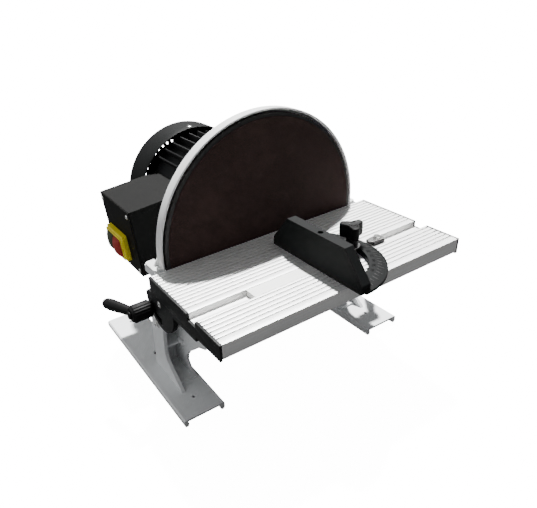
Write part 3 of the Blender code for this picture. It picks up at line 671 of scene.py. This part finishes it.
def pillow(y, z, base, crown, edge, power=3.0, rows=17):
    # a key's face: it stands edge + crown ((1 - |u|^p)(1 - |v|^p))^0.7 off its base, towards -x
    u = np.sin(np.linspace(-math.pi / 2, math.pi / 2, rows))
    uu, vv = np.meshgrid(u, u, indexing="ij")
    a = (y[0] + y[1]) / 2 + (y[1] - y[0]) / 2 * uu
    b = (z[0] + z[1]) / 2 + (z[1] - z[0]) / 2 * vv
    rise = crown * ((1 - np.abs(uu) ** power) * (1 - np.abs(vv) ** power)) ** 0.7
    top = np.stack([base - edge - rise, a, b], -1).reshape(-1, 3)
    under = np.stack([0 * a + base, a, b], -1).reshape(-1, 3)
    count = rows * rows
    faces = gridFaces(rows, rows, False, False)
    index = np.arange(count).reshape(rows, rows)
    rim = np.concatenate([index[0, :], index[1:, -1], index[-1, -2::-1], index[-2:0:-1, 0]])
    around = np.stack([rim, np.roll(rim, -1), np.roll(rim, -1) + count, rim + count], 1)
    return (np.concatenate([top, under]),
            np.concatenate([faces, faces[:, ::-1] + count, around]).tolist())


def makeSwitchBox():
    box = {"lean": -4.4, "corner": (-166.0, 0.0, 243.0), "screw": (3.5, 1.8)}
    keys = {"z": (162.6, 190.4), "base": -175.5, "root": (-175.8, -172.6), "rootIn": 0.2}
    each = [("stop_key_dome", "red_plastic", "stop_key", "stop_button", (118.6, 141.1), 5.8, 2.5),
            ("start_key_face", "green_plastic", "start_key", "start_button", (144.4, 166.9),
             4.8, 2.0)]
    softened("switch_box", 1.0, 3)
    softened("switch_box_cover", 0.5)
    softened("switch_housing", 1.1, 3)
    for end in ("front_top", "front_bottom", "rear_top", "rear_bottom"):
        node = "cover_screw_" + end
        y, z = sum(span(node, "y")) / 2, sum(span(node, "z")) / 2
        matrix = moved(span(node, "x")[1], y, z) @ turned(box["lean"] - 90, "Y")
        piece(node + "_cross", turnedBy(screwHead(*box["screw"]), matrix), "chrome", "base",
              (node,))
    # the box leans about its upper corner, and the keys lean with it
    corner = moved(*box["corner"])
    lean = corner @ turned(box["lean"], "Y") @ corner.inverted()
    trim = np.array([keys["rootIn"], -keys["rootIn"]])
    for name, slot, body, node, y, crown, edge in each:
        root = block(keys["root"], y + trim, keys["z"] + trim)
        shape = together(pillow(y, keys["z"], keys["base"], crown, edge), root)
        piece(name, turnedBy(shape, lean), slot, body, (node,))


def makeTable():
    # one outline (y, z) of slot, grooves and bays, carried from end to end
    table = {"slot": (-120.125, -101.075), "slotDeep": 8.0, "grooveHalf": 0.85, "grooveDeep": 2.8,
             "pitch": 7.0, "rearGrooves": (-91.0, 13), "frontGrooves": (-124.3, 6),
             "bays": ((-166, -127), (-94, -54), (-50, -7)), "deck": 6}
    low, high = span("table_top", "x")
    front, rear = span("table_top", "y")
    under, top = span("table_top", "z")
    (rearStart, rearCount), (frontStart, frontCount) = table["rearGrooves"], table["frontGrooves"]
    rearRun = (rearStart + table["pitch"] * np.arange(rearCount))[::-1]
    frontRun = frontStart - table["pitch"] * np.arange(frontCount)
    half, deep = table["grooveHalf"], table["grooveDeep"]

    def run(centres):
        # each groove is a narrow trapezium
        offsets = np.array([(half, 0), (half * 0.9, -deep), (-half * 0.9, -deep), (-half, 0)])
        points = centres[:, None, None] * np.array([1.0, 0.0]) + offsets[None]
        return (points + np.array([0.0, top])).reshape(-1, 2)

    floor = top - table["slotDeep"]
    slotFront, slotRear = table["slot"]
    slot = [(slotRear, top), (slotRear, floor), (slotFront, floor), (slotFront, top)]
    ceiling = top - table["deck"]
    bays = []
    for bayFront, bayRear in table["bays"]:
        bays += [(bayFront, under), (bayFront, ceiling), (bayRear, ceiling), (bayRear, under)]
    outline = np.concatenate([[(rear, under), (rear, top)], run(rearRun), np.array(slot),
                              run(frontRun), [(front, top), (front, under)], np.array(bays)])
    piece("table_extrusion", softPrism(eased(outline, 0.3), "x", low, high, 0.25, 2),
          "table_aluminium", "table", ("table_top",), sharp=28)

    # end caps: a plate, a low rib and teeth that reach into the grooves
    cap = {"half": 183.5, "thick": 3.0, "toothReach": 3.2, "toothFill": 0.86, "ribZ": (3, 4.4)}
    outer, bottom = cap["half"], span("left_end_cap", "z")[0]
    edge = [(rear, bottom + 2), (rear, top), *slot, (front, top), (front, bottom + 1),
            (front + 1, bottom), (rear - 2, bottom)]
    plate = softPrism(eased(edge, 0.45), "x", outer - cap["thick"], outer, 0.35)
    wide = half * cap["toothFill"]
    teeth = [block((high - cap["toothReach"], outer - 1.0), (y - wide, y + wide),
                   (top - deep + 0.06, top - 0.1), 0.2, 0.15)
             for y in np.concatenate([rearRun, frontRun])]
    ribs = [block((outer - 1.0, outer - 0.05), y, [bottom + rise for rise in cap["ribZ"]],
                  0.2, 0.3)
            for y in ((front + 4, slotFront - 3), (slotRear + 3, rear - 4))]
    whole = together(plate, *teeth, *ribs)
    piece("right_cap_toothed", whole, "cap_plastic", "table", ("right_end_cap",))
    piece("left_cap_toothed", flipped(whole), "cap_plastic", "table", ("left_end_cap",))


def makeTilt():
    # scale marks stand on the rim of a quarter turn round the tilt centre
    tilt = {"centre": (-24.0, 162.0), "radius": (38.4, 40.3), "short": 0.7, "outer": 175.9,
            "span": (260, 352), "step": 5, "markHalf": 0.16}
    screws = {"pointer": (174.7, 22, 101), "pointerHead": (3.3, 1.5),
              "pivot": (183.1, *tilt["centre"]), "pivotHead": (4.6, 1.6, 0.5)}
    outer, (inner, rim), half = tilt["outer"], tilt["radius"], tilt["markHalf"]
    marks = []
    for degrees in range(*tilt["span"], tilt["step"]):
        start = inner + (0 if degrees % 10 == 0 else tilt["short"])
        mark = block((outer - 0.05, outer + 0.12), (start, rim), (-half, half), 0.04, 0.04)
        marks.append(turnedBy(mark, moved(0, *tilt["centre"]) @ turned(degrees, "X")))
    marks = together(*marks)
    pointerScrew, pivotCap = (
        turnedBy(screwHead(*screws[which + "Head"]), moved(*screws[which]) @ turned(90, "Y"))
        for which in ("pointer", "pivot"))
    for word, mirror in (("left", flipped), ("right", asDrawn)):
        softened(word + "_trunnion", 0.5)
        softened(word + "_tilt_scale", 0.12, 1)
        piece(word + "_scale_marks", mirror(marks), "scale_aluminium", "table",
              material=markPaint)
        softened(word + "_tilt_pointer", 0.25)
        piece(word + "_pointer_screw", mirror(pointerScrew), "chrome", "base")
        piece(word + "_pivot_cap", mirror(pivotCap), "chrome", "base")


def makeLever(word, mirror, restTurn):
    # hub rows are (distance out, radius, rib height); grip rows are (share of length, radius)
    lever = {"start": 183.7, "ribs": 20, "root": 207, "tip": (21.0, 57.0, -6.0),
             "hub": [(0, 8.0, 0), (3.6, 8.0, 0), (4, 10.8, 0.3), (5.2, 11.3, 0.7),
                     (27, 11.3, 0.7), (28.4, 10.9, 0.5), (29, 10.2, 0), (30.6, 9.6, 0),
                     (31, 8.8, 0), (31, 5.6, 0), (33.2, 5.5, 0), (34, 4.6, 0), (34, 0.01, 0)],
             "grip": [(0, 5.6), (0.10, 5.8), (0.2, 6.2), (0.55, 7.5), (0.8, 7.9), (0.94, 7.3),
                      (1.0, 5.2)],
             "rings": 0.10, "ringPitch": 2.4, "endRadius": 5.2, "endRise": 2.0}
    y, z = sum(span(word + "_lock_nut", "y")) / 2, sum(span(word + "_lock_nut", "z")) / 2
    start = lever["start"]
    # ribbed hub: r = radius + rib height |cos(n t / 2)|^3
    angle = fullTurn(lever["ribs"] * 6)[None, :]
    wave = np.abs(np.cos(lever["ribs"] * angle / 2)) ** 3
    along, radius, rib = np.array(lever["hub"]).T[:, :, None]
    r = radius + rib * wave
    hub = loft(placed("x", start + along, y + r * np.cos(angle), z + r * np.sin(angle)))
    stud = lathe([(0, 158), (3.7, 158), (4, 158.5), (4, start + 2), (0, start + 2)], "x",
                 (y, z), 32)
    # tapering grip, with shallow rings: radius + rings sin(pitch times distance)
    root = Vector((lever["root"], y, z))
    tip = root + Vector(lever["tip"])
    length = (tip - root).length
    share = np.linspace(0, 1, 60)
    grip = np.interp(share, *np.array(lever["grip"]).T)
    ringed = (share > 0.2) * (share < 0.9)
    grip = grip + lever["rings"] * np.sin(share * length * lever["ringPitch"]) * ringed
    turn = np.linspace(0.2, math.pi / 2, 6)
    end = np.stack([lever["endRadius"] * np.cos(turn),
                    length + lever["endRise"] * np.sin(turn)], 1)
    profile = np.concatenate([[(0.0, 0.0)], np.stack([grip, share * length], 1), end])
    aim = Vector((0, 0, 1)).rotation_difference(tip - root).to_matrix().to_4x4()
    handle = turnedBy(lathe(profile, "z", (0, 0.0), 40), Matrix.Translation(root) @ aim)
    centre = moved(0, y, z)
    whole = turnedBy(together(hub, handle, stud),
                     centre @ turned(restTurn, "X") @ centre.inverted())
    piece(word + "_lever_ribbed", mirror(whole), "lever_plastic", word + "_lever",
          (word + "_lock_lever",), sharp=42)


def makeGauge():
    gauge = {"pivot": (-3.5, -110.6), "plate": 200.3, "outer": 83.0, "bevel": 70.0, "rim": 196.0,
             "tickStep": 5, "tickLong": 8.5, "tickShort": 5.0, "tickHalf": 0.28, "tickIn": 0.8,
             "figureStep": 10, "figureSize": 6.0, "figureAt": 66.6,
             "screwAt": (98, 197.8), "screw": (4.4, 2.6, 0.9)}
    for node, edge in (("miter_head", 0.5), ("miter_bar", 0.35), ("miter_pointer_block", 0.4),
                       ("miter_pointer", 0.22)):
        softened(node, edge)
    pivotX, pivotY = gauge["pivot"]
    # degree ticks lie on the sloping rim, longer every 10
    slope = math.atan2(gauge["plate"] - gauge["rim"], gauge["outer"] - gauge["bevel"])
    tickSeat = (moved(gauge["bevel"] + gauge["tickIn"], 0,
                      gauge["plate"] - gauge["tickIn"] * math.tan(slope))
                @ Matrix.Rotation(slope, 4, "Y"))
    ticks = []
    for degrees in range(-80, 81, gauge["tickStep"]):
        length = gauge["tickLong"] if degrees % 10 == 0 else gauge["tickShort"]
        tick = block((0, length), (-gauge["tickHalf"], gauge["tickHalf"]), (-0.05, 0.12),
                     0.05, 0.05)
        ticks.append(turnedBy(tick, moved(pivotX, pivotY, 0) @ turned(degrees, "Z") @ tickSeat))
    piece("protractor_ticks", together(*ticks), "gauge_black_paint", "gauge_head",
          material=paleMark)
    figures = [numeral(str(abs(degrees)), gauge["figureSize"],
                       moved(pivotX, pivotY, gauge["plate"]) @ turned(degrees, "Z")
                       @ moved(gauge["figureAt"], 0, 0) @ turned(90, "Z"))
               for degrees in range(-60, 61, gauge["figureStep"])]
    piece("protractor_numbers", together(*figures), "gauge_black_paint", "gauge_head",
          material=markPaint)

    # three-armed knob: a star outline (radius, turn from the arm) scaled row by row as it rises
    knob = {"x": 52.5, "first": 3, "ease": 3.6,
            "arm": ((16.4, -0.27), (16.4, 0.27), (8.2, 0.86), (8.2, 1.234)),
            "rows": [(214.0, 0.0), (214.0, 0.84), (214.3, 0.94), (215.2, 0.99), (217, 1.0),
                     (229.5, 1.0), (231.3, 0.985), (231.9, 0.93), (231.9, 0.80), (231.0, 0.66),
                     (230.7, 0.4), (230.6, 0.0)],
            "stem": [(3.4, 202.4), (7.2, 202.4), (8.0, 203.0), (8.0, 206), (7.3, 208),
                     (7.4, 214.5), (3.4, 214.5)],
            "button": [(0, 230.2), (4.6, 230.2), (4.6, 230.9), (4.0, 231.4), (0, 231.5)],
            "washer": [(3.5, 200.6), (10.7, 200.6), (11.0, 200.9), (11.0, 201.8), (10.7, 202.1),
                       (3.8, 202.1)]}
    x, y = knob["x"], pivotY
    corners = [(radius * math.cos(middle + turn), radius * math.sin(middle + turn))
               for middle in (math.radians(knob["first"] + 120 * arm) for arm in range(3))
               for radius, turn in knob["arm"]]
    starX, starY = eased(corners, knob["ease"], 6).T
    height, share = np.array(knob["rows"]).T[:, :, None]
    top = loft(placed("z", height, x + starX * share, y + starY * share))
    stem, button = lathe(knob["stem"], "z", (x, y), 48), lathe(knob["button"], "z", (x, y), 40)
    piece("knob_three_lobe", together(top, stem, button), "knob_plastic", "gauge_knob",
          ("miter_knob",))
    piece("washer_bright", lathe(knob["washer"], "z", (x, y), 64), "chrome", "gauge_knob",
          ("miter_washer",))
    screwX, screwZ = gauge["screwAt"]
    screw = turnedBy(screwHead(*gauge["screw"]), moved(screwX, pivotY, screwZ))
    piece("pointer_screw", screw, "chrome", "gauge_bar")


def numeral(text, size, matrix):
    # plain degree figures, 0.12 mm proud of the plate
    curve = bpy.data.curves.new("figure", "FONT")
    curve.body = text
    curve.size = size
    curve.extrude = 0.12
    curve.align_x = "CENTER"
    curve.align_y = "CENTER"
    curve.resolution_u = 3
    helper = bpy.data.objects.new("figure", curve)
    bpy.context.scene.collection.objects.link(helper)
    bpy.context.view_layer.update()
    graph = bpy.context.evaluated_depsgraph_get()
    mesh = bpy.data.meshes.new_from_object(helper.evaluated_get(graph))
    points = np.empty(len(mesh.vertices) * 3)
    mesh.vertices.foreach_get("co", points)
    faces = [list(face.vertices) for face in mesh.polygons]
    bpy.data.objects.remove(helper, do_unlink=True)
    return turnedBy((points.reshape(-1, 3), faces), matrix)


def makeBase():
    # the spout is a turned tube (radius, y) with a flange and a run of hose barbs
    spout = {"bore": 26.5, "flange": 36.0, "flangeThick": 3.0, "tube": 29.0, "barb": 28.3,
             "barbPitch": 9.0, "z": 74.0, "steps": 72}
    softened("disc_housing", 0.5)
    for word in ("left", "right"):
        softened(word + "_foot", 0.6)
        softened(word + "_upright", 1.0, 3)
    low, high = span("dust_port", "y")
    bore, flange, tube, barb = (spout[key] for key in ("bore", "flange", "tube", "barb"))
    seat = low + spout["flangeThick"]
    profile = [(bore, low), (flange - 0.4, low), (flange, low + 0.4), (flange, seat - 0.4),
               (flange - 0.4, seat), (tube + 1.2, seat), (tube + 0.2, seat + 1.2),
               (tube, seat + 3)]
    for start in np.arange(low + 22, high - 8, spout["barbPitch"]):
        profile += [(tube, start), (barb, start + 5.5), (barb, start + 6.5), (tube, start + 9.0)]
    profile += [(tube - 0.4, high - 0.4), (tube - 1.0, high), (bore + 0.5, high),
                (bore, high - 0.5)]
    piece("dust_spout_barbed", lathe(profile, "y", (0, spout["z"]), spout["steps"]),
          "black_plastic", "base", ("dust_port",))


def finishRest():
    # CAD pieces that stay as they are get their finish
    for node, obj in frame["nodes"].items():
        obj.data.materials.clear()
        obj.data.materials.append(finishes[nodeSlot[node]])


def makeCamera():
    view = {"lens": 35.1, "shift": (0.110, 0.0044), "clip": 0.01,
            "at": (-0.3825, faceY / 1000 - 0.5338, 0.5259),
            "yaw": -28.49, "pitch": 29.06, "roll": -5.14}
    yaw, pitch, roll = (math.radians(view[key]) for key in ("yaw", "pitch", "roll"))
    ahead = Vector((-math.sin(yaw) * math.cos(pitch), math.cos(yaw) * math.cos(pitch),
                    -math.sin(pitch)))
    right = Vector((math.cos(yaw), math.sin(yaw), 0))
    up = right.cross(ahead)
    across = math.cos(roll) * right + math.sin(roll) * up
    above = -math.sin(roll) * right + math.cos(roll) * up
    lens = bpy.data.cameras.new("bench_view")
    lens.lens = view["lens"]
    lens.sensor_width = 36
    lens.shift_x, lens.shift_y = view["shift"]
    lens.clip_start = view["clip"]
    camera = bpy.data.objects.new("bench_view", lens)
    matrix = Matrix((across, above, -ahead)).transposed().to_4x4()
    matrix.translation = Vector(view["at"])
    camera.matrix_world = matrix
    bpy.context.scene.collection.objects.link(camera)
    bpy.context.scene.camera = camera


def makeFloor():
    # matt and pale; to the lens it also glows, except in a strip hidden under each foot, which
    # stays dark to the lens as painted shade under the foot
    ground = {"reach": 30.0, "z": -0.0004, "paintedShadeStrip": (0.134, 0.190), "paintedShadeEnds": (0.022, 0.003),
              "bounce": (0.06, 0.06, 0.06, 1), "pale": (0.90, 0.90, 0.90, 1), "glow": 25.0,
              "glowShare": 0.6}
    reach, z = ground["reach"], ground["z"]
    floorMesh = bpy.data.meshes.new("floor")
    floorMesh.from_pydata([(-reach, -reach, z), (reach, -reach, z), (reach, reach, z),
                           (-reach, reach, z)], [], [(0, 1, 2, 3)])
    paint = bpy.data.materials.new("pale_floor")
    paint.use_nodes = True
    paint.node_tree.nodes.clear()
    start = Wire(paint.node_tree)
    footLow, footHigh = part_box("left_foot")
    x, along, _ = split(start.node("ShaderNodeTexCoord", {}, {}, 3))
    across = start.node("ShaderNodeMath", {"operation": "ABSOLUTE"}, {0: x})
    near, far = ground["paintedShadeStrip"]
    front, rear = footLow[1] + ground["paintedShadeEnds"][0], footHigh[1] - ground["paintedShadeEnds"][1]
    # painted shade: the floor under each foot neither glows nor looks pale to the lens
    paintedShadeStrip = (across > near) * (far - across > 0) * (along > front) * (rear - along > 0)
    seenOutsidePaintedShade = start.node("ShaderNodeLightPath", {}, {}, 0) * (1 - paintedShadeStrip)
    matt = start.node("ShaderNodeBsdfDiffuse", {},
                      {"Color": mixed(seenOutsidePaintedShade, ground["bounce"], ground["pale"])})
    glow = start.node("ShaderNodeEmission", {}, {"Color": (1, 1, 1, 1),
                                                 "Strength": ground["glow"]})
    mix = start.node("ShaderNodeMixShader", {}, {0: seenOutsidePaintedShade * ground["glowShare"], 1: matt, 2: glow})
    start.node("ShaderNodeOutputMaterial", {}, {"Surface": mix})
    floorMesh.materials.append(paint)
    floor = bpy.data.objects.new("floor", floorMesh)
    bpy.context.scene.collection.objects.link(floor)


def makeLight():
    light = {"travel": (-0.32, -0.40, -1.0), "strength": 14.0, "spread": 2.5}
    fill = {"base": 0.07, "above": 0.36, "left": 1.15, "behind": 0.25, "backdrop": 14.0,
            "tint": (0.97, 0.985, 1.0, 1)}
    lamp = bpy.data.lights.new("key", "SUN")
    lamp.energy = light["strength"]
    lamp.angle = math.radians(light["spread"])
    key = bpy.data.objects.new("key", lamp)
    key.rotation_euler = Vector(light["travel"]).to_track_quat("-Z", "Y").to_euler()
    bpy.context.scene.collection.objects.link(key)
    # a room that is brightest on the left, then overhead, and dim towards the operator
    world = bpy.data.worlds.new("studio")
    world.use_nodes = True
    tree = world.node_tree
    heading = Wire(tree).node("ShaderNodeTexCoord", {}, {}, 0)
    sideways, forwards, upwards = split(heading)
    glow = (fill["base"] + fill["above"] * band(upwards, 0.1, 0.95)
            + fill["left"] * band(0 - sideways, 0.45, 0.95)
            + fill["behind"] * band(forwards, 0.1, 0.9))
    # straight to the lens the room is as pale as the floor
    glow = glow + heading.node("ShaderNodeLightPath", {}, {}, 0) * fill["backdrop"]
    sky = tree.nodes["Background"]
    sky.inputs["Color"].default_value = fill["tint"]
    tree.links.new(glow.socket, sky.inputs["Strength"])
    bpy.context.scene.world = world


finishRest()
print("CAD pieces finished:", len(frame["nodes"]))
makeDisc()
makeGuard()
print("disc and guard done")
makeMotor()
makeCowl()
makeSwitchBox()
print("motor and switch done")
makeTable()
makeTilt()
makeLever("left", flipped, 0)
makeLever("right", asDrawn, -60)
print("table done")
makeGauge()
makeBase()
print("gauge and base done")
makeCamera()
makeFloor()
makeLight()
print("camera, floor and light done")
